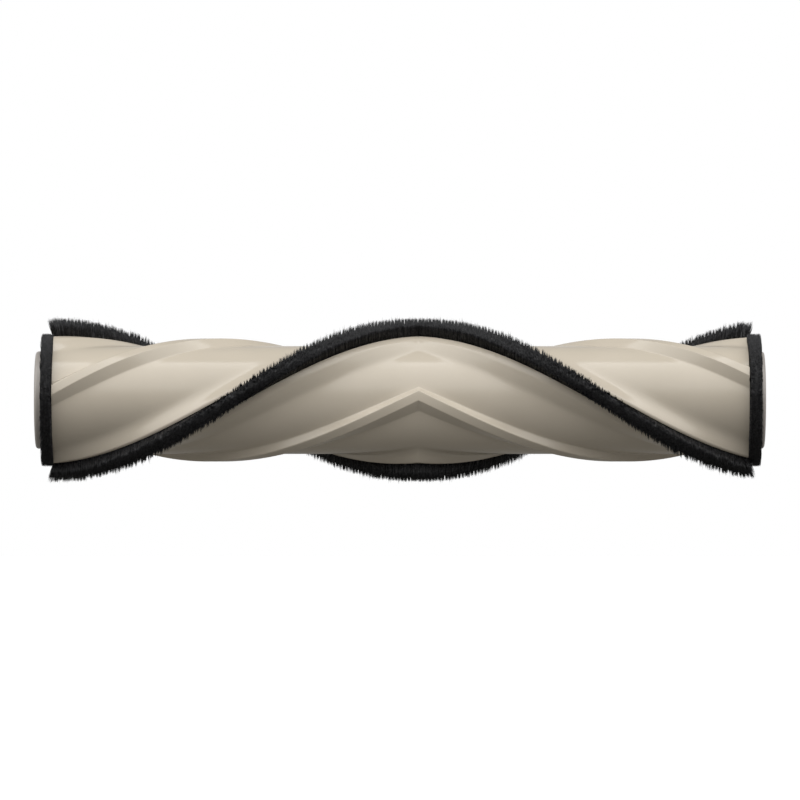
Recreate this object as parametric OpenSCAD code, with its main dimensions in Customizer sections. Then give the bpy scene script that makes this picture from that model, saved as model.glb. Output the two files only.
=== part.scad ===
// Vacuum brush roll with two helical bristle strips and two plain helical ribs.
// The roll's axis is X, the drive end is at +X and the idler end at -X.
// Angles round the roll are counted from the front (-Y) upwards (+Z).
// The origin is on the axis, at the middle of the length between the end faces.

/* [Overall] */
// Length between the two outer end faces
overall_len = 178; // [165:0.5:200]
// How far the idler cap's face stands out past its bristle ring
idler_proud = 1.55; // [1.2:0.05:2]
// How far the drive hub's face stands out past its bristle ring
drive_proud = 0.95; // [0.7:0.05:1.5]

/* [Helical body] */
// Radius of the round body between the ribs
base_r = 13.2; // [12.6:0.1:13.6]
// Radius of the bore that takes the core tube
body_bore_r = 10.5; // [10.1:0.1:11]
// Length of one whole turn of the helix
helix_lead = 176.6; // [150:0.5:260]
// Place of the V's point along the axis
apex_x = 4.5; // [-20:0.5:20]
// Angle of the first bristle strip at the V's point
apex_angle = 92.3; // [0:0.1:180]

/* [Bristle ribs] */
// Radius of the two lips beside the bristle strip
lip_r = 15.65; // [15.2:0.05:16]
// Radius of the land beside the lower lip
land_r = 15.3; // [14.9:0.05:15.6]
// Angle from the strip to the land's edge
land_angle = 14.5; // [12:0.5:18]
// Angle from the strip to the foot of the steep flank
steep_foot_angle = 30; // [24:0.5:34]
// Angle from the strip to the upper lip's edge
lip_angle = 9.5; // [9:0.5:12]
// Angle from the strip to the foot of the gentle slope
gentle_foot_angle = 24; // [20:0.5:30]

/* [Plain ribs] */
// Radius of the plain ribs' lands
plain_r = 15.05; // [14.4:0.05:15.6]
// Angle from a bristle strip back to the plain rib's lower corner at the V
plain_offset = 92.5; // [85:0.5:98]
// How far a plain rib runs ahead of the bristle strip away from the V
plain_swing = 8; // [0:0.5:12]
// Distance from the V at which it runs ahead the most
plain_swing_len = 63; // [40:1:90]
// Width of a plain rib's land as an angle
plain_land_angle = 9; // [6:0.5:12]
// Width of the lower flank as an angle
plain_flank_angle = 11; // [8:0.5:14]
// Width of the upper flank as an angle
plain_bevel_angle = 4.5; // [3:0.5:8]

/* [Bristle strips] */
// Width of the slot that holds a strip's backing
slot_w = 5; // [4.4:0.1:5.2]
// Width of the slot's mouth between the lips
neck_w = 3.6; // [3:0.1:4]
// Radius of the slot's floor
slot_floor_r = 13.9; // [13.4:0.05:14.2]
// Thickness of a lip over the backing
lip_t = 0.65; // [0.5:0.05:0.8]
// Clearance of the strips in their slots
strip_gap = 0.12; // [0.08:0.01:0.2]
// Radius of the bristle tips
tip_r = 20.3; // [19:0.1:21.5]
// Width of the pile at its tips
pile_tip_w = 5.6; // [4.4:0.1:7]

/* [Bristle rings] */
// Radius of the ring pile
ring_tip_r = 16.4; // [15.6:0.1:17.5]
// Width of the idler ring's pile
idler_ring_w = 2.8; // [2.4:0.1:3.2]
// Width of the drive ring's pile
drive_ring_w = 3.1; // [2.6:0.1:3.6]
// Inner radius of the rings' carriers
carrier_r = 12.3; // [12.1:0.05:12.6]
// Wall of the rings' carriers
carrier_t = 1.1; // [0.8:0.1:1.4]

/* [Core tube and hubs] */
// Wall of the core tube
tube_t = 1; // [0.8:0.1:1.4]
// Length of a hub's plug inside the tube
plug_len = 20; // [16:0.5:30]
// Thickness of the hub flange behind the idler cap
flange_t = 1.5; // [1.2:0.1:2]
// Wall of the hubs' cored ends
hub_wall = 2; // [1.6:0.1:2.4]
// Width across the flats of the drive socket
socket_w = 8; // [7:0.1:9]
// Depth of the drive socket
socket_depth = 12; // [8:0.5:15]
// Radius of the shallow recess round the socket's mouth
socket_mouth_r = 6.6; // [6.4:0.1:8]

/* [Idler cap] */
// Radius of the end discs
disc_r = 11.9; // [11:0.1:12]
// Rounding of the end discs' outer edges
disc_edge_r = 0.7; // [0.3:0.1:1]
// Radius of the cap's bearing sleeve
sleeve_r = 7; // [6.6:0.1:7.4]
// Running gap between the cap and the turning roll
running_gap = 0.3; // [0.25:0.05:0.5]
// Radius of the bore for the housing's fixed pin
pin_bore_r = 3; // [2.5:0.1:3.4]
// Depth of the bore for the housing's fixed pin
pin_bore_depth = 4.7; // [4.2:0.1:5]
// Width of the two key slots in the cap's face
key_w = 2.4; // [2:0.1:3]
// Depth of the key slots
key_depth = 1.4; // [1:0.1:1.8]

/* [Bearing] */
// Outer radius of the ball bearing
bearing_r = 5; // [4.8:0.1:5.2]
// Bore radius of the ball bearing
bearing_bore_r = 1.5; // [1.2:0.1:1.6]
// Width of the ball bearing
bearing_w = 4; // [3.6:0.1:4.4]
// Radius of the balls
ball_r = 0.8; // [0.7:0.05:0.85]
// Number of balls
ball_count = 7; // [5:1:7]
// Clearance between balls, races and cage
race_gap = 0.03; // [0.02:0.005:0.05]

/* [Hidden] */

// Resolution of the round parts, and length of one helix step
round_fn = 96;
step_len = 3;

// Fits inside one body
press_gap = 0.01;
seat_gap = 0.05;

// Places along the axis, from the idler end to the drive end
end_idler_x = -overall_len / 2;
end_drive_x = overall_len / 2;
idler_ring_x = end_idler_x + idler_proud;
drive_ring_x = end_drive_x - drive_proud;
body_idler_x = idler_ring_x + idler_ring_w + seat_gap;
body_drive_x = drive_ring_x - drive_ring_w - seat_gap;

// Finish colours
champagne = [0.80, 0.76, 0.68];
end_grey = [0.62, 0.59, 0.56];
bristle_black = [0.13, 0.13, 0.14];
backing_black = [0.08, 0.08, 0.08];
steel = [0.70, 0.71, 0.73];
aluminium = [0.80, 0.81, 0.83];
brass = [0.78, 0.64, 0.36];

// Width of a chord of length w, as half its angle at radius r
function half_angle(w, r) = asin(w / 2 / r);

// Angle of the first bristle strip at place x
function strip_angle(x) = apex_angle - 360 * abs(x - apex_x) / helix_lead;

// Lead of a plain rib over the bristle strip at place x
function swing(x) = plain_swing * sin(min(180, 90 * abs(x - apex_x) / plain_swing_len));

// Point on the roll at place x, radius r and angle a
function roll_point(x, r, a) = [x, -r * cos(a), r * sin(a)];

// Places of the helix steps between two places, both ends included
function stations(x0, x1) =
    let (n = max(2, ceil(abs(x1 - x0) / step_len)))
    [for (i = [0 : n]) x0 + (x1 - x0) * i / n];

// Inner points of an arc of the round body between two angles
function base_arc(a0, a1, n) = [for (i = [1 : n - 1]) [a0 + (a1 - a0) * i / n, base_r]];

// Profile of one bristle rib round its strip, from the steep foot to the gentle foot,
// with the undercut slot between its two lips
slot_top_r = lip_r - lip_t;
rib_round = 0.35;
function strip_rib_profile() =
    let (
        neck_a = half_angle(neck_w, lip_r),
        slot_a = half_angle(slot_w, slot_top_r),
        floor_a = half_angle(slot_w, slot_floor_r)
    ) [
        [-steep_foot_angle, base_r],
        [-steep_foot_angle + 2.5, base_r + rib_round],
        [-land_angle - 1.2, land_r - rib_round],
        [-land_angle + 1, land_r],
        [-neck_a, lip_r],
        [-neck_a, slot_top_r],
        [-slot_a, slot_top_r],
        [-floor_a, slot_floor_r],
        [floor_a, slot_floor_r],
        [slot_a, slot_top_r],
        [neck_a, slot_top_r],
        [neck_a, lip_r],
        [lip_angle - 0.7, lip_r - rib_round / 4],
        [lip_angle + 0.7, lip_r - rib_round],
        [gentle_foot_angle - 5, base_r + rib_round],
        [gentle_foot_angle, base_r]
    ];

// Profile of one plain rib from its lower corner at angle a
function plain_rib_profile(a) = [
    [a - plain_flank_angle, base_r],
    [a - plain_flank_angle + 2, base_r + rib_round / 2],
    [a - 0.8, plain_r - rib_round],
    [a + 0.8, plain_r],
    [a + plain_land_angle - 0.6, plain_r],
    [a + plain_land_angle + 0.6, plain_r - rib_round],
    [a + plain_land_angle + plain_bevel_angle, base_r]
];

// Half of the body's section at place x: a bristle rib, a plain rib and the arcs between
arc_steps_long = 6;
arc_steps_short = 5;
function half_section(x) =
    let (plain_a = 180 - plain_offset + swing(x))
    concat(
        strip_rib_profile(),
        base_arc(gentle_foot_angle, plain_a - plain_flank_angle, arc_steps_long),
        plain_rib_profile(plain_a),
        base_arc(plain_a + plain_land_angle + plain_bevel_angle, 180 - steep_foot_angle, arc_steps_short)
    );

// Whole section of the body at place x as points in space
function body_ring(x) = [
    for (turn = [0, 180], p = half_section(x))
        roll_point(x, p[1], strip_angle(x) + turn + p[0])
];

// Triangles of a loft through m rings of n points, split towards the V from both sides
function loft_faces(n, m, v_ring) = concat(
    [for (i = [0 : m - 2], j = [0 : n - 1], part = [0, 1])
        let (
            a = i * n + j,
            b = i * n + (j + 1) % n,
            c = b + n,
            d = a + n
        )
        i < v_ring ? (part == 0 ? [a, b, c] : [a, c, d]) : (part == 0 ? [a, b, d] : [b, c, d])
    ],
    [[for (j = [n - 1 : -1 : 0]) j], [for (j = [0 : n - 1]) (m - 1) * n + j]]
);

// Solid through a list of rings, with the ring at the V's point numbered v_ring
module loft(rings, v_ring) {
    polyhedron(
        points = [for (ring = rings, p = ring) p],
        faces = loft_faces(len(rings[0]), len(rings), v_ring),
        convexity = 10
    );
}

// Shape turned round the roll's axis from [x, r] points
module turned(points) {
    rotate([0, 90, 0])
        rotate_extrude($fn = round_fn)
            polygon([for (p = points) [p[1], p[0]]]);
}

// Round hole or bar along the axis between two places
module bar(x0, x1, r, fn = round_fn) {
    translate([x0, 0, 0])
        rotate([0, 90, 0])
            cylinder(h = x1 - x0, r = r, $fn = fn);
}

// The visible moulding: round body, two bristle ribs and two plain ribs in a V
end_overrun = 0.5;
module helical_body() {
    idler_side = stations(body_idler_x, apex_x);
    drive_side = stations(apex_x, body_drive_x);
    places = concat(
        [body_idler_x - end_overrun],
        [for (i = [1 : len(idler_side) - 1]) idler_side[i]],
        [for (i = [1 : len(drive_side) - 2]) drive_side[i]],
        [body_drive_x + end_overrun]
    );
    color(champagne)
        intersection() {
            loft([for (x = places) body_ring(x)], len(idler_side) - 1);
            difference() {
                bar(body_idler_x, body_drive_x, tip_r);
                bar(body_idler_x - 1, body_drive_x + 1, body_bore_r);
            }
        }
}

// Metal tube that stiffens the moulding and carries both hubs
tube_bore_r = body_bore_r - tube_t;
module core_tube() {
    color(aluminium)
        difference() {
            bar(body_idler_x, body_drive_x, body_bore_r - press_gap);
            bar(body_idler_x - 1, body_drive_x + 1, tube_bore_r);
        }
}

// Section of a strip's backing, inside the slot
pile_root_r = slot_top_r + seat_gap;
backing_top_r = slot_top_r - strip_gap;
backing_floor_r = slot_floor_r + strip_gap;
function backing_ring(x, turn) =
    let (
        top_a = half_angle(slot_w - 2 * strip_gap, backing_top_r),
        floor_a = half_angle(slot_w - 2 * strip_gap, backing_floor_r)
    ) [
        for (p = [[-floor_a, backing_floor_r], [-top_a, backing_top_r],
                  [top_a, backing_top_r], [floor_a, backing_floor_r]])
            roll_point(x, p[1], strip_angle(x) + turn + p[0])
    ];

// Section of a strip's pile: a neck between the lips and tips that spread
tip_crown = 0.5;
function pile_ring(x, turn) =
    let (
        root_a = half_angle(neck_w - 2 * strip_gap, pile_root_r),
        lip_a = half_angle(neck_w - 2 * strip_gap, lip_r),
        tip_a = half_angle(pile_tip_w, tip_r)
    ) [
        for (p = [[-root_a, pile_root_r - strip_gap], [-lip_a, lip_r], [-tip_a, tip_r - tip_crown],
                  [-tip_a / 2, tip_r], [tip_a / 2, tip_r],
                  [tip_a, tip_r - tip_crown], [lip_a, lip_r], [root_a, pile_root_r - strip_gap]])
            roll_point(x, p[1], strip_angle(x) + turn + p[0])
    ];

// Ends of the strips, which meet at the V with a small gap
strip_ends = [[body_idler_x, apex_x - strip_gap / 2], [apex_x + strip_gap / 2, body_drive_x]];
module strip_backing(side, turn) {
    places = stations(strip_ends[side][0], strip_ends[side][1]);
    color(backing_black)
        loft([for (x = places) backing_ring(x, turn)], side == 0 ? len(places) : 0);
}

module strip_pile(side, turn) {
    places = stations(strip_ends[side][0], strip_ends[side][1]);
    color(bristle_black)
        loft([for (x = places) pile_ring(x, turn)], side == 0 ? len(places) : 0);
}

module strip_a_idler_backing() { strip_backing(0, 0); }
module strip_a_idler_pile() { strip_pile(0, 0); }
module strip_a_drive_backing() { strip_backing(1, 0); }
module strip_a_drive_pile() { strip_pile(1, 0); }
module strip_b_idler_backing() { strip_backing(0, 180); }
module strip_b_idler_pile() { strip_pile(0, 180); }
module strip_b_drive_backing() { strip_backing(1, 180); }
module strip_b_drive_pile() { strip_pile(1, 180); }

// Carrier of a bristle ring, a hoop with two low rims that hold the pile's root
rim_w = 0.4;
rim_h = 0.3;
pile_seat_r = carrier_r + carrier_t;
module ring_carrier(x0, x1) {
    color(backing_black)
        turned([[x0, carrier_r], [x1, carrier_r],
            [x1, pile_seat_r + rim_h], [x1 - rim_w, pile_seat_r + rim_h], [x1 - rim_w, pile_seat_r],
            [x0 + rim_w, pile_seat_r], [x0 + rim_w, pile_seat_r + rim_h], [x0, pile_seat_r + rim_h]]);
}

// Pile of a bristle ring, rooted between its carrier's rims and wider above them
module ring_pile(x0, x1) {
    root_r = pile_seat_r + press_gap;
    over_r = pile_seat_r + rim_h + seat_gap;
    inset = rim_w + seat_gap;
    color(bristle_black)
        turned([[x0 + inset, root_r], [x1 - inset, root_r], [x1 - inset, over_r], [x1, over_r],
            [x1, ring_tip_r], [x0, ring_tip_r], [x0, over_r], [x0 + inset, over_r]]);
}

module idler_ring_carrier() { ring_carrier(idler_ring_x, idler_ring_x + idler_ring_w); }
module idler_ring_pile() { ring_pile(idler_ring_x, idler_ring_x + idler_ring_w); }
module drive_ring_carrier() { ring_carrier(drive_ring_x - drive_ring_w, drive_ring_x); }
module drive_ring_pile() { ring_pile(drive_ring_x - drive_ring_w, drive_ring_x); }

// Idler end, from the cap's disc inwards
hub_flange_x = body_idler_x - flange_t;
cap_back_x = hub_flange_x - running_gap;
hub_flange_r = carrier_r - seat_gap;
plug_r = tube_bore_r - press_gap;
plug_end_x = body_idler_x + plug_len;
clip_t = 0.5;
clip_gap = 0.1;
web_t = 1.7;
cavity_x = end_idler_x + pin_bore_depth + web_t;
shaft_end_gap = 0.8;
shaft_tail = 1.3;
bearing_x = cavity_x + shaft_end_gap + shaft_tail + clip_t + 2 * clip_gap;
bearing_end_x = bearing_x + bearing_w;
sleeve_lip = 0.6;
sleeve_end_x = bearing_end_x + sleeve_lip;
recess_x = sleeve_end_x + running_gap;
recess_r = sleeve_r + running_gap;
boss_step = 0.8;
boss_r = bearing_bore_r + boss_step;

// Rounded edge of an end disc, as [x, r] points from the face outwards
edge_steps = 6;
function disc_edge(x_face, into) = [
    for (i = [0 : edge_steps])
        let (a = 90 * i / edge_steps)
        [x_face + into * disc_edge_r * (1 - cos(a)), disc_r - disc_edge_r * (1 - sin(a))]
];

// The cap that stays still in the housing and holds the bearing's outer ring
bearing_stop = 1;
cavity_r = bearing_r - bearing_stop;
module idler_cap() {
    color(end_grey)
        difference() {
            turned(concat(
                [[end_idler_x, 0]], disc_edge(end_idler_x, 1),
                [[cap_back_x, disc_r], [cap_back_x, sleeve_r], [sleeve_end_x, sleeve_r],
                    [sleeve_end_x, bearing_r + press_gap], [bearing_x, bearing_r + press_gap],
                    [bearing_x, cavity_r], [cavity_x, cavity_r], [cavity_x, 0]]));
            bar(end_idler_x - 1, end_idler_x + pin_bore_depth, pin_bore_r);
            for (side = [-1, 1])
                key_slot(side);
        }
}

// One key slot in the cap's face, with round ends
key_in_r = 5.6;
key_out_r = 9;
module key_slot(side) {
    translate([end_idler_x - 1, 0, 0])
        rotate([0, 90, 0])
            linear_extrude(height = 1 + key_depth) {
                translate([-key_w / 2, side > 0 ? key_in_r : -key_out_r])
                    square([key_w, key_out_r - key_in_r]);
                for (y = [key_in_r, key_out_r])
                    translate([0, side * y])
                        circle(d = key_w, $fn = 32);
            }
}

// Ball bearing: grooved rings, balls in a cage, and two shields
ring_wall = 1.1;
inner_land_r = bearing_bore_r + ring_wall;
outer_land_r = bearing_r - ring_wall;
pitch_r = (inner_land_r + outer_land_r) / 2;
bearing_mid_x = bearing_x + bearing_w / 2;
shield_t = 0.2;
shield_rebate = 0.45;
shield_seat_r = outer_land_r + shield_rebate;
shield_inset = 0.1;
shield_gap = 0.15;
module race_groove() {
    rotate([0, 90, 0])
        translate([0, 0, bearing_mid_x])
            rotate_extrude($fn = round_fn)
                translate([pitch_r, 0])
                    circle(r = ball_r + race_gap, $fn = 48);
}

module bearing_outer_ring() {
    seat = shield_inset + shield_t + race_gap;
    color(steel)
        difference() {
            bar(bearing_x, bearing_end_x, bearing_r);
            bar(bearing_x - 1, bearing_end_x + 1, outer_land_r);
            bar(bearing_x - 1, bearing_x + seat, shield_seat_r);
            bar(bearing_end_x - seat, bearing_end_x + 1, shield_seat_r);
            race_groove();
        }
}

module bearing_inner_ring() {
    color(steel)
        difference() {
            bar(bearing_x, bearing_end_x, inner_land_r);
            bar(bearing_x - 1, bearing_end_x + 1, bearing_bore_r + press_gap);
            race_groove();
        }
}

module bearing_shield(x0) {
    color(steel)
        difference() {
            bar(x0, x0 + shield_t, shield_seat_r - press_gap);
            bar(x0 - 1, x0 + shield_t + 1, inner_land_r + shield_gap);
        }
}

module bearing_shield_outer() { bearing_shield(bearing_x + shield_inset); }
module bearing_shield_inner() { bearing_shield(bearing_end_x - shield_inset - shield_t); }

// Places of the balls round the bearing
module at_balls() {
    for (i = [0 : ball_count - 1])
        rotate([360 * i / ball_count, 0, 0])
            translate([bearing_mid_x, 0, pitch_r])
                children();
}

module bearing_balls() {
    color(steel)
        at_balls()
            sphere(r = ball_r, $fn = 32);
}

cage_t = 0.5;
cage_w = 1.8;
module bearing_cage() {
    color(brass)
        difference() {
            bar(bearing_mid_x - cage_w / 2, bearing_mid_x + cage_w / 2, pitch_r + cage_t / 2);
            bar(bearing_mid_x - cage_w, bearing_mid_x + cage_w, pitch_r - cage_t / 2);
            at_balls()
                sphere(r = ball_r + race_gap, $fn = 32);
        }
}

// Steel shaft that the roll turns on, pressed into the idler hub
shaft_r = bearing_bore_r;
shaft_x = cavity_x + shaft_end_gap;
shaft_in_len = 12;
clip_x = bearing_x - clip_gap - clip_t;
clip_groove = 0.35;
clip_seat_r = shaft_r - clip_groove;
clip_rim = 0.9;
clip_r = shaft_r + clip_rim;
module stub_shaft() {
    color(steel)
        difference() {
            bar(shaft_x, recess_x + shaft_in_len, shaft_r);
            difference() {
                bar(clip_x - clip_gap / 2, clip_x + clip_t + clip_gap / 2, shaft_r + 1);
                bar(clip_x - clip_gap, clip_x + clip_t + clip_gap, clip_seat_r);
            }
        }
}

// Open spring clip in the shaft's groove
clip_opening = 1.6;
module retaining_clip() {
    color(steel)
        difference() {
            bar(clip_x, clip_x + clip_t, clip_r);
            bar(clip_x - 1, clip_x + clip_t + 1, clip_seat_r + press_gap);
            translate([clip_x - 1, -clip_opening / 2, -clip_r - 1])
                cube([clip_t + 2, clip_opening, clip_r + 1]);
        }
}

// Hub at the idler end: flange, plug, recess for the cap's sleeve and shaft boss
boss_wall = 2;
boss_cap = 1;
recess_floor_t = 2.4;
module idler_hub() {
    boss_end_x = recess_x + shaft_in_len + boss_cap;
    floor_x = recess_x + recess_floor_t;
    core_r = plug_r - hub_wall;
    color(end_grey)
        difference() {
            turned([[hub_flange_x, recess_r], [hub_flange_x, hub_flange_r],
                [body_idler_x - seat_gap, hub_flange_r], [body_idler_x - seat_gap, plug_r],
                [plug_end_x, plug_r], [plug_end_x, core_r], [floor_x, core_r],
                [floor_x, shaft_r + boss_wall], [boss_end_x, shaft_r + boss_wall], [boss_end_x, 0],
                [bearing_end_x, 0], [bearing_end_x, boss_r], [recess_x, boss_r], [recess_x, recess_r]]);
            bar(bearing_end_x - 1, recess_x + shaft_in_len, shaft_r + press_gap);
        }
}

// Hub at the drive end: end disc, ring seat, plug and square drive socket
socket_floor_t = 2.5;
mouth_depth = 0.6;
seat_step = 0.3;
module drive_hub() {
    seat_end_x = drive_ring_x - seat_step;
    plug_start_x = body_drive_x - plug_len;
    core_r = plug_r - hub_wall;
    core_end_x = end_drive_x - socket_depth - socket_floor_t;
    edge = disc_edge(end_drive_x, -1);
    color(end_grey)
        difference() {
            turned(concat(
                [[core_end_x, 0], [core_end_x, core_r], [plug_start_x, core_r], [plug_start_x, plug_r],
                    [body_drive_x + seat_gap, plug_r], [body_drive_x + seat_gap, hub_flange_r],
                    [seat_end_x, hub_flange_r], [seat_end_x, disc_r]],
                [for (i = [edge_steps : -1 : 0]) edge[i]],
                [[end_drive_x, 0]]));
            translate([end_drive_x - socket_depth, -socket_w / 2, -socket_w / 2])
                cube([socket_depth + 1, socket_w, socket_w]);
            bar(end_drive_x - mouth_depth, end_drive_x + 1, socket_mouth_r);
        }
}

idler_cap();
bearing_outer_ring();
bearing_shield_outer();
bearing_shield_inner();
bearing_balls();
bearing_cage();
bearing_inner_ring();
stub_shaft();
retaining_clip();
helical_body();
core_tube();
idler_hub();
drive_hub();
idler_ring_carrier();
idler_ring_pile();
drive_ring_carrier();
drive_ring_pile();
strip_a_idler_backing();
strip_a_idler_pile();
strip_a_drive_backing();
strip_a_drive_pile();
strip_b_idler_backing();
strip_b_idler_pile();
strip_b_drive_backing();
strip_b_drive_pile();
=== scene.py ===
import math

import bpy
import numpy as np
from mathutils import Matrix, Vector
from mathutils.geometry import tessellate_polygon


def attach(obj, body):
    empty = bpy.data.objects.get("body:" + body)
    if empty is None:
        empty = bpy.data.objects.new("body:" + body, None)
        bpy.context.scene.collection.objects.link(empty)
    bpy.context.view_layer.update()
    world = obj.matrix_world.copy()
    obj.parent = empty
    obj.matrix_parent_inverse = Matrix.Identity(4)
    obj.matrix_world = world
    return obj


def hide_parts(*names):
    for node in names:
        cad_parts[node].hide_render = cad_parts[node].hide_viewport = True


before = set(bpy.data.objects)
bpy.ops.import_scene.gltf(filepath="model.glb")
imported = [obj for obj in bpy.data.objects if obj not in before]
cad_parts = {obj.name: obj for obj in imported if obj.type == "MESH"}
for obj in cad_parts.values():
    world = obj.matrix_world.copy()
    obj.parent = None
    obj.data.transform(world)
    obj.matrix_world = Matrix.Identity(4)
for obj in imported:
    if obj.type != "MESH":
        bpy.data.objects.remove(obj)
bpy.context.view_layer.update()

# Sizes of the roll in millimetres and degrees, the same as the frame's
APEX_X = 4.5
APEX_ANGLE = 92.3
HELIX_LEAD = 176.6
BODY_X = (-84.6, 84.9)
BASE_R = 13.2
BORE_R = 10.5
LIP_R = 15.65
LAND_R = 15.3
SLOT_TOP_R = 15.0
SLOT_FLOOR_R = 13.9
SLOT_W = 5.0
NECK_W = 3.6
PLAIN_R = 15.05
PLAIN_OFFSET = 92.5
PLAIN_SWING = 8
PLAIN_SWING_LEN = 63
TIP_R = 20.3
PILE_W = 5.6
RING_TIP_R = 16.4
RING_ROOT_R = 12.4
RINGS = {"idler": (-87.45, -84.65), "drive": (84.95, 88.05)}


def half_angle(width, radius):
    return math.degrees(math.asin(width / 2 / radius))


def strip_angle(x):
    """Angle of bristle strip A round the roll at place x; 0 faces the camera, 90 is up."""
    return APEX_ANGLE - 360 * np.abs(x - APEX_X) / HELIX_LEAD


def plain_angle(x):
    """Angle of a plain rib's lower corner from the strip below it."""
    swing = np.minimum(180, 90 * np.abs(x - APEX_X) / PLAIN_SWING_LEN)
    return 180 - PLAIN_OFFSET + PLAIN_SWING * np.sin(np.radians(swing))


def on_roll(x, radius, angle):
    """Points in millimetres at place x, distance from the axis and angle round it."""
    x, radius, angle = np.broadcast_arrays(x, radius, np.radians(angle))
    return np.stack([x, -radius * np.cos(angle), radius * np.sin(angle)], -1)


# Meshes

def mesh_object(name, points, quads=(), tris=()):
    """Object from points in millimetres and faces of four and three corners."""
    quads = np.asarray(quads, np.int32).reshape(-1, 4)
    tris = np.asarray(tris, np.int32).reshape(-1, 3)
    mesh = bpy.data.meshes.new(name)
    mesh.vertices.add(len(points))
    mesh.vertices.foreach_set("co", (np.asarray(points) * 0.001).astype(np.float32).ravel())
    corners = np.concatenate([quads.ravel(), tris.ravel()])
    mesh.loops.add(len(corners))
    mesh.loops.foreach_set("vertex_index", corners)
    counts = np.concatenate([np.full(len(quads), 4), np.full(len(tris), 3)])
    starts = np.concatenate([[0], np.cumsum(counts)[:-1]])
    mesh.polygons.add(len(counts))
    mesh.polygons.foreach_set("loop_start", starts.astype(np.int32))
    mesh.update(calc_edges=True)
    mesh.validate()
    made = bpy.data.objects.new(name, mesh)
    bpy.context.scene.collection.objects.link(made)
    return made


def grid_quads(rings, around, first=0):
    """Quads between neighbouring closed rings of points."""
    i, j = np.meshgrid(np.arange(rings - 1), np.arange(around), indexing="ij")
    a = first + i * around + j
    b = first + i * around + (j + 1) % around
    return np.stack([a, b, b + around, a + around], -1).reshape(-1, 4)


def dress(piece, material, body, slot, *nodes):
    """Gives a new piece its material and the body it moves with, and hides the CAD nodes it stands for."""
    piece.data.materials.append(material)
    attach(piece, body)
    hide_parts(*nodes)
    return piece


# The moulded body

def strip_rib():
    """Corners of the rib that holds a bristle strip: angle, radius, rounding, steps to the next."""
    neck = half_angle(NECK_W, LIP_R)
    slot = half_angle(SLOT_W, SLOT_TOP_R)
    floor = half_angle(SLOT_W, SLOT_FLOOR_R)
    return [
        (-29, BASE_R, 0.9, 3), (-14.6, LAND_R, 0.4, 2),
        (-neck, LIP_R, 0.15, 1), (-neck, SLOT_TOP_R, 0, 1),
        (-slot, SLOT_TOP_R, 0, 1), (-floor, SLOT_FLOOR_R, 0, 2),
        (floor, SLOT_FLOOR_R, 0, 1), (slot, SLOT_TOP_R, 0, 1),
        (neck, SLOT_TOP_R, 0, 1), (neck, LIP_R, 0.15, 1),
        (9.6, LIP_R - 0.05, 0.3, 2), (20.2, BASE_R, 1.7, 12),
    ]


def plain_rib(a):
    """Corners of a plain rib from its lower corner at angle a."""
    return [
        (a - 11, BASE_R, 0.3, 2), (a, PLAIN_R, 0.15, 2),
        (a + 9.2, PLAIN_R, 0.25, 1), (a + 13.5, BASE_R, 0.35, 8),
    ]


def rounded(corners, turn):
    """Angles and radii along a half section whose corners are rounded; the next half follows at turn."""
    flat = np.array([(math.radians(a) * BASE_R, r) for a, r, _, _ in corners])
    n = len(corners)
    ahead = np.roll(flat, -1, 0)
    ahead[-1, 0] += math.radians(turn) * BASE_R
    steps = ahead - flat
    lengths = np.linalg.norm(steps, axis=1)
    out = []
    for i in range(n):
        before, after = steps[i - 1] / lengths[i - 1], steps[i] / lengths[i]
        reach = min(corners[i][2], 0.45 * lengths[i - 1], 0.45 * lengths[i])
        nxt = min(corners[(i + 1) % n][2], 0.45 * lengths[i], 0.45 * lengths[(i + 1) % n])
        if reach > 0:
            start, end = flat[i] - before * reach, flat[i] + after * reach
            out += [
                (1 - t) ** 2 * start + 2 * t * (1 - t) * flat[i] + t * t * end
                for t in (0, 1 / 3, 2 / 3, 1)
            ]
        else:
            end = flat[i]
            out.append(end)
        stop = flat[i] + after * (lengths[i] - nxt)
        out += [end + (stop - end) * k / corners[i][3] for k in range(1, corners[i][3])]
    out = np.array(out)
    return np.degrees(out[:, 0] / BASE_R), out[:, 1]


def body_ring(x):
    """The body's outline at place x."""
    a, r = rounded(strip_rib() + plain_rib(plain_angle(x)), 180)
    return np.concatenate([on_roll(x, r, strip_angle(x) + turn + a) for turn in (0, 180)])


def cap_tris(outer, inner, first_outer, first_inner):
    """Triangles that close an end between the outline and the bore."""
    loops = [[Vector(p[1:].tolist() + [0]) for p in ring] for ring in (outer, inner)]
    names = list(range(first_outer, first_outer + len(outer)))
    names += list(range(first_inner, first_inner + len(inner)))
    return [[names[i] for i in tri] for tri in tessellate_polygon(loops)]


def make_body(material):
    """The champagne moulding, with rounded corners on the lofts that the CAD body has."""
    pitch, around = 0.5, 96
    places = np.concatenate([
        np.linspace(BODY_X[0], APEX_X, round((APEX_X - BODY_X[0]) / pitch) + 1),
        np.linspace(APEX_X, BODY_X[1], round((BODY_X[1] - APEX_X) / pitch) + 1)[1:],
    ])
    rings = [body_ring(x) for x in places]
    turns = np.linspace(0, 360, around, endpoint=False)
    bore = [on_roll(x, BORE_R, turns) for x in BODY_X]
    n, m = len(rings[0]), len(rings)
    first_bore = n * m
    quads = np.concatenate([grid_quads(m, n), grid_quads(2, around, first_bore)[:, ::-1]])
    tris = cap_tris(rings[0], bore[0], 0, first_bore)
    tris += cap_tris(rings[-1], bore[1], n * (m - 1), first_bore + around)
    body = mesh_object("body_moulding", np.concatenate(rings + bore), quads, tris)
    face_out(body)
    body.data.set_sharp_from_angle(angle=math.radians(38))
    weigh = body.modifiers.new("Even shading on flats", "WEIGHTED_NORMAL")
    weigh.keep_sharp = True
    return dress(body, material, "roll", "body_moulding", "helical_body")


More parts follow.
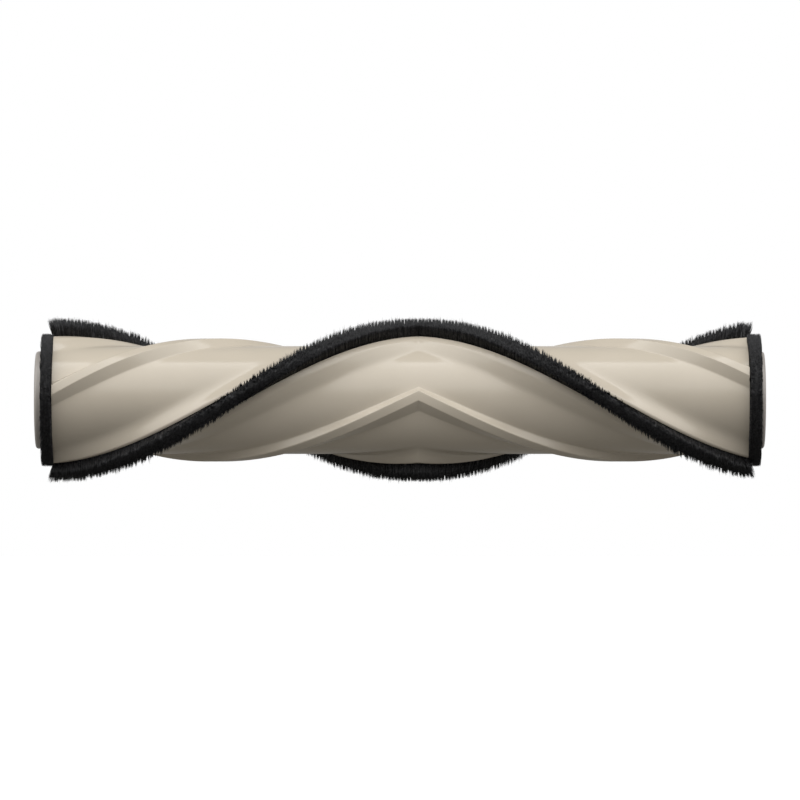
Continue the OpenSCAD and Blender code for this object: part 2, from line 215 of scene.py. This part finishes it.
def face_out(piece):
    """Turns every face of a closed piece outwards and shades it smooth."""
    import bmesh
    bm = bmesh.new()
    bm.from_mesh(piece.data)
    bmesh.ops.recalc_face_normals(bm, faces=bm.faces)
    bm.to_mesh(piece.data)
    bm.free()
    piece.data.shade_smooth()


# Bristles

def hairs(roots, tips, thick, rng):
    """Closed three-sided hairs that taper from root to tip: points, quads and tris."""
    n = len(roots)
    along = tips - roots
    mids = roots + 0.6 * along + rng.normal(0, 0.07, (n, 3))
    side = np.cross(along, rng.normal(size=(n, 3)))
    side /= np.linalg.norm(side, axis=1, keepdims=True)
    up = np.cross(along, side)
    up /= np.linalg.norm(up, axis=1, keepdims=True)
    radius = thick * rng.uniform(0.8, 1.2, (n, 1))
    points = np.empty((n, 7, 3))
    for k in range(3):
        spoke = math.cos(2.0944 * k) * side + math.sin(2.0944 * k) * up
        points[:, k] = roots + radius * spoke
        points[:, 3 + k] = mids + 0.8 * radius * spoke
    points[:, 6] = tips
    quads = np.array([[0, 1, 4, 3], [1, 2, 5, 4], [2, 0, 3, 5]])
    tris = np.array([[3, 4, 6], [4, 5, 6], [5, 3, 6], [0, 2, 1]])
    first = 7 * np.arange(n)[:, None, None]
    return points.reshape(-1, 3), (first + quads).reshape(-1, 4), (first + tris).reshape(-1, 3)


def joined(*parts):
    """One set of points, quads and tris from several."""
    points, quads, tris, first = [], [], [], 0
    for p, q, t in parts:
        points.append(p)
        quads.append(np.asarray(q, int).reshape(-1, 4) + first)
        tris.append(np.asarray(t, int).reshape(-1, 3) + first)
        first += len(p)
    return np.concatenate(points), np.concatenate(quads), np.concatenate(tris)


def strip_core(x0, x1, turn):
    """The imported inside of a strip's pile, which no light passes."""
    places = np.linspace(x0 + 0.2, x1 - 0.2, 90)
    profile = [(-1.5, SLOT_TOP_R), (-1.6, 16.5), (-1.7, 18.6), (1.7, 18.6), (1.6, 16.5), (1.5, SLOT_TOP_R)]
    rings = [
        np.concatenate([
            on_roll(x, r, strip_angle(x) + turn + math.degrees(w / r)).reshape(1, 3) for w, r in profile
        ])
        for x in places
    ]
    n, m = len(profile), len(places)
    ends = [[0, j + 1, j] for j in range(1, n - 1)]
    last = n * (m - 1)
    ends += [[last, last + j, last + j + 1] for j in range(1, n - 1)]
    return np.concatenate(rings), grid_quads(m, n), ends


def make_strip(name, x0, x1, turn, outside, material, seed):
    """The pile of one strip length: tufts of hairs from the slot, splayed over the ring at its outer end."""
    rng = np.random.default_rng(seed)
    n = int(140 * (x1 - x0))
    x = rng.uniform(x0, x1, n)
    w = rng.uniform(-1, 1, n)
    tuft_x, rows = 0.8, 4
    column = np.floor((x - x0) / tuft_x).astype(int)
    row = np.clip(np.floor((w + 1) / 2 * rows + 0.5 * (column % 2)), 0, rows).astype(int)
    table = rng.normal(size=(column.max() + 1, rows + 1, 3))
    tuft = table[column, row]
    centre_x = x0 + (column + 0.5) * tuft_x + 0.15 * tuft[:, 0]
    centre_w = np.clip((row + 0.5 - 0.5 * (column % 2)) / rows * 2 - 1, -1, 1)
    clump = 0.35
    tip_x = x + clump * (centre_x - x) + rng.normal(0, 0.12, n)
    tip_w = w + clump * (centre_w - w) + rng.normal(0, 0.05, n)
    d = np.abs(x - outside)
    tip_x += np.sign(outside - APEX_X) * 1.7 * np.exp(-d / 1.6) * rng.uniform(0.5, 1.1, n)
    ragged = np.clip(np.abs(x - APEX_X) / 80, 0, 1)
    tip_r = TIP_R - 0.15 - 0.35 * w ** 2 - np.abs(rng.normal(0, 0.22, n))
    tip_r += (0.08 + 0.22 * ragged) * np.clip(tuft[:, 1], -2, 1)
    stray = rng.random(n) < 0.02
    tip_r = np.where(stray, TIP_R + rng.uniform(0, 0.45, n), tip_r)
    root_r = SLOT_TOP_R + 0.1
    turn_at = strip_angle(x) + turn
    roots = on_roll(x, root_r, turn_at + np.degrees(w * (NECK_W / 2 - 0.2) / root_r))
    tips = on_roll(tip_x, tip_r, turn_at + np.degrees(tip_w * PILE_W / 2 / TIP_R))
    pile = mesh_object(name + "_hairs", *joined(hairs(roots, tips, 0.095, rng), strip_core(x0, x1, turn)))
    return dress(pile, material, "roll", "bristle", name)


def make_ring(side, material, seed):
    """The bristle ring at one end: hairs that stand out from the hoop."""
    rng = np.random.default_rng(seed)
    x0, x1 = RINGS[side]
    n = 7600
    x = rng.uniform(x0 + 0.1, x1 - 0.1, n)
    a = rng.uniform(0, 360, n)
    roots = on_roll(x, RING_ROOT_R + 0.1, a)
    tip_r = RING_TIP_R - np.abs(rng.normal(0, 0.2, n))
    tips = on_roll(np.clip(x + rng.normal(0, 0.2, n), x0 - 0.15, x1 + 0.02), tip_r, a + rng.normal(0, 1.6, n))
    turns = np.linspace(0, 360, 128, endpoint=False)
    inner = [(x0 + 0.3, RING_ROOT_R), (x0 + 0.3, 15.2), (x1 - 0.3, 15.2), (x1 - 0.3, RING_ROOT_R)]
    core = np.concatenate([on_roll(px, r, turns) for px, r in inner])
    quads = np.concatenate([grid_quads(4, 128), [[384 + j, 384 + (j + 1) % 128, (j + 1) % 128, j] for j in range(128)]])
    pile = mesh_object(f"{side}_ring_pile_hairs", *joined(hairs(roots, tips, 0.1, rng), (core, quads, [])))
    return dress(pile, material, "roll", "bristle", f"{side}_ring_pile")


# Materials

def new_material(name, roughness, **sockets):
    """A Principled material with its constant values on the shader's own sockets."""
    mat = bpy.data.materials.new(name)
    mat.use_nodes = True
    shader = mat.node_tree.nodes["Principled BSDF"]
    shader.inputs["Roughness"].default_value = roughness
    for key, value in sockets.items():
        shader.inputs[key.replace("_", " ")].default_value = value
    return mat


def add_node(tree, kind, **values):
    node = tree.nodes.new(kind)
    for key, value in values.items():
        if hasattr(node, key):
            setattr(node, key, value)
        else:
            node.inputs[key.replace("_", " ")].default_value = value
    return node


def noise(mat, scale, detail=3.0, stretch=(1, 1, 1)):
    """Noise in the object's own metres, stretched along the axes."""
    tree = mat.node_tree
    place = add_node(tree, "ShaderNodeTexCoord")
    mapping = add_node(tree, "ShaderNodeMapping", Scale=stretch)
    texture = add_node(tree, "ShaderNodeTexNoise", Scale=scale, Detail=detail)
    tree.links.new(place.outputs["Object"], mapping.inputs["Vector"])
    tree.links.new(mapping.outputs["Vector"], texture.inputs["Vector"])
    return texture


def colour_between(mat, texture, dark, light, low=0.35, high=0.65):
    """Base colour that drifts between two colours with a noise."""
    tree = mat.node_tree
    ramp = add_node(tree, "ShaderNodeValToRGB")
    first, last = ramp.color_ramp.elements
    first.position, first.color = low, (*dark, 1)
    last.position, last.color = high, (*light, 1)
    tree.links.new(texture.outputs["Fac"], ramp.inputs["Fac"])
    tree.links.new(ramp.outputs["Color"], tree.nodes["Principled BSDF"].inputs["Base Color"])


def bump(mat, texture, strength, distance):
    """Relief of a few thousandths of a millimetre, from a noise."""
    tree = mat.node_tree
    relief = add_node(tree, "ShaderNodeBump", Strength=strength, Distance=distance)
    tree.links.new(texture.outputs["Fac"], relief.inputs["Height"])
    tree.links.new(relief.outputs["Normal"], tree.nodes["Principled BSDF"].inputs["Normal"])


def roughness_between(mat, texture, low, high):
    """Roughness that drifts between two values with a noise."""
    tree = mat.node_tree
    spread = add_node(tree, "ShaderNodeMapRange")
    spread.inputs["To Min"].default_value = low
    spread.inputs["To Max"].default_value = high
    tree.links.new(texture.outputs["Fac"], spread.inputs["Value"])
    tree.links.new(spread.outputs["Result"], tree.nodes["Principled BSDF"].inputs["Roughness"])


def moulded_plastic(name, dark, light, roughness):
    """Satin moulded plastic with a faint mottle and a fine grain."""
    mat = new_material(name, roughness, IOR=1.5)
    colour_between(mat, noise(mat, 60), dark, light)
    bump(mat, noise(mat, 5000, 2), 0.05, 0.00002)
    roughness_between(mat, noise(mat, 300), roughness - 0.03, roughness + 0.03)
    return mat


def bristle_nylon(name, dark, light):
    """Dyed nylon hairs, each a little lighter or darker than the next."""
    mat = new_material(name, 0.42, IOR=1.5)
    colour_between(mat, noise(mat, 2600, 1), dark, light, 0.4, 0.68)
    return mat


def bright_metal(name, dark, light, roughness):
    """Turned metal with fine rings round the axis."""
    mat = new_material(name, roughness, Metallic=1.0)
    rings = noise(mat, 900, 2, (8, 1, 1))
    colour_between(mat, rings, dark, light)
    roughness_between(mat, rings, roughness - 0.06, roughness + 0.08)
    return mat


champagne = moulded_plastic("champagne moulding", (0.60, 0.535, 0.435), (0.63, 0.562, 0.46), 0.16)
stone_grey = moulded_plastic("grey end moulding", (0.47, 0.435, 0.40), (0.50, 0.465, 0.43), 0.3)
nylon = bristle_nylon("black bristle", (0.008, 0.008, 0.009), (0.045, 0.045, 0.048))
backing = moulded_plastic("black backing", (0.018, 0.018, 0.019), (0.026, 0.026, 0.028), 0.5)
tube_metal = bright_metal("drawn aluminium", (0.72, 0.73, 0.74), (0.80, 0.81, 0.82), 0.35)
steel = bright_metal("ground steel", (0.56, 0.56, 0.57), (0.66, 0.66, 0.67), 0.22)
cage_plastic = moulded_plastic("bearing cage", (0.42, 0.29, 0.16), (0.47, 0.33, 0.19), 0.45)

FINISHES = {
    "idler_cap": stone_grey, "idler_hub": stone_grey, "drive_hub": stone_grey,
    "bearing_outer_ring": steel, "bearing_inner_ring": steel, "bearing_balls": steel,
    "bearing_shield_outer": steel, "bearing_shield_inner": steel, "bearing_cage": cage_plastic,
    "stub_shaft": steel, "retaining_clip": steel, "core_tube": tube_metal,
    "idler_ring_carrier": backing, "drive_ring_carrier": backing,
}


# Studio

LIGHT_STOPS = [
    (-180, 0.85), (-150, 0.2), (-120, 0.5), (-90, 0.3), (-60, 0.05), (-30, 0.08), (0, 0.05),
    (12, 0.2), (20, 0.65), (28, 1.4), (40, 1.45), (55, 1.75), (70, 2.0), (87, 3.2),
    (89, 0.15), (130, 0.1), (155, 0.3), (180, 0.85),
]
LIGHT_PEAK = 4.0


def light_studio():
    """A long soft box overhead and in front, dim below; the camera sees plain white."""
    world = bpy.data.worlds.new("studio")
    bpy.context.scene.world = world
    world.use_nodes = True
    tree = world.node_tree
    tree.nodes.clear()
    place = add_node(tree, "ShaderNodeTexCoord")
    split = add_node(tree, "ShaderNodeSeparateXYZ")
    front = add_node(tree, "ShaderNodeMath", operation="MULTIPLY")
    front.inputs[1].default_value = -1
    angle = add_node(tree, "ShaderNodeMath", operation="ARCTAN2")
    share = add_node(tree, "ShaderNodeMapRange")
    share.inputs["From Min"].default_value = -math.pi
    share.inputs["From Max"].default_value = math.pi
    ramp = add_node(tree, "ShaderNodeValToRGB")
    stops = ramp.color_ramp.elements
    while len(stops) < len(LIGHT_STOPS):
        stops.new(0.5)
    for stop, (degrees, strength) in zip(stops, LIGHT_STOPS):
        level = strength / LIGHT_PEAK
        stop.position, stop.color = (degrees + 180) / 360, (level, level, level, 1)
    lamp = add_node(tree, "ShaderNodeBackground", Strength=LIGHT_PEAK)
    white = add_node(tree, "ShaderNodeBackground", Color=(1, 1, 1, 1))
    path = add_node(tree, "ShaderNodeLightPath")
    mix = add_node(tree, "ShaderNodeMixShader")
    out = add_node(tree, "ShaderNodeOutputWorld")
    link = tree.links.new
    link(place.outputs["Generated"], split.inputs["Vector"])
    link(split.outputs["Y"], front.inputs[0])
    link(split.outputs["Z"], angle.inputs[0])
    link(front.outputs[0], angle.inputs[1])
    link(angle.outputs[0], share.inputs["Value"])
    link(share.outputs["Result"], ramp.inputs["Fac"])
    link(ramp.outputs["Color"], lamp.inputs["Color"])
    link(path.outputs["Is Camera Ray"], mix.inputs["Fac"])
    link(lamp.outputs[0], mix.inputs[1])
    link(white.outputs[0], mix.inputs[2])
    link(mix.outputs[0], out.inputs["Surface"])


def lay_floor(height):
    """A plain pale floor: white where it is lit, and it keeps the roll's shadow."""
    floor = mesh_object("floor", np.array([[-1, -1, 0], [1, -1, 0], [1, 1, 0], [-1, 1, 0]]) * [4000, 4000, 0]
                        + [0, 0, height], [[0, 1, 2, 3]])
    mat = bpy.data.materials.new("floor white")
    mat.use_nodes = True
    tree = mat.node_tree
    tree.nodes.clear()
    path = add_node(tree, "ShaderNodeLightPath")
    dull = add_node(tree, "ShaderNodeBsdfDiffuse", Color=(0.2, 0.195, 0.185, 1))
    pale = add_node(tree, "ShaderNodeBsdfDiffuse", Color=(0.9, 0.9, 0.9, 1))
    glow = add_node(tree, "ShaderNodeEmission", Strength=0.45)
    seen = add_node(tree, "ShaderNodeAddShader")
    mix = add_node(tree, "ShaderNodeMixShader")
    out = add_node(tree, "ShaderNodeOutputMaterial")
    link = tree.links.new
    link(pale.outputs[0], seen.inputs[0])
    link(glow.outputs[0], seen.inputs[1])
    link(path.outputs["Is Camera Ray"], mix.inputs["Fac"])
    link(dull.outputs[0], mix.inputs[1])
    link(seen.outputs[0], mix.inputs[2])
    link(mix.outputs[0], out.inputs["Surface"])
    floor.data.materials.append(mat)


def place_camera():
    """Level with the roll's axis and square to it, far off with a long lens."""
    camera = bpy.data.objects.new("camera", bpy.data.cameras.new("camera"))
    bpy.context.scene.collection.objects.link(camera)
    camera.location = (0, -1.88, 0)
    camera.rotation_euler = (math.pi / 2, 0, 0)
    camera.data.lens = 346
    camera.data.sensor_width = 36
    bpy.context.scene.camera = camera


# The scene

make_body(champagne)
for number, (strip, turn) in enumerate((("a", 0), ("b", 180))):
    make_strip(f"strip_{strip}_idler_pile", BODY_X[0], APEX_X - 0.06, turn, BODY_X[0], nylon, 11 + number)
    make_strip(f"strip_{strip}_drive_pile", APEX_X + 0.06, BODY_X[1], turn, BODY_X[1], nylon, 21 + number)
for number, side in enumerate(RINGS):
    make_ring(side, nylon, 31 + number)
for name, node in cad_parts.items():
    if node.hide_render:
        continue
    node.data.materials.clear()
    node.data.materials.append(FINISHES.get(name, backing))
light_studio()
lay_floor(-120)
place_camera()
bpy.context.scene.view_settings.view_transform = "Standard"
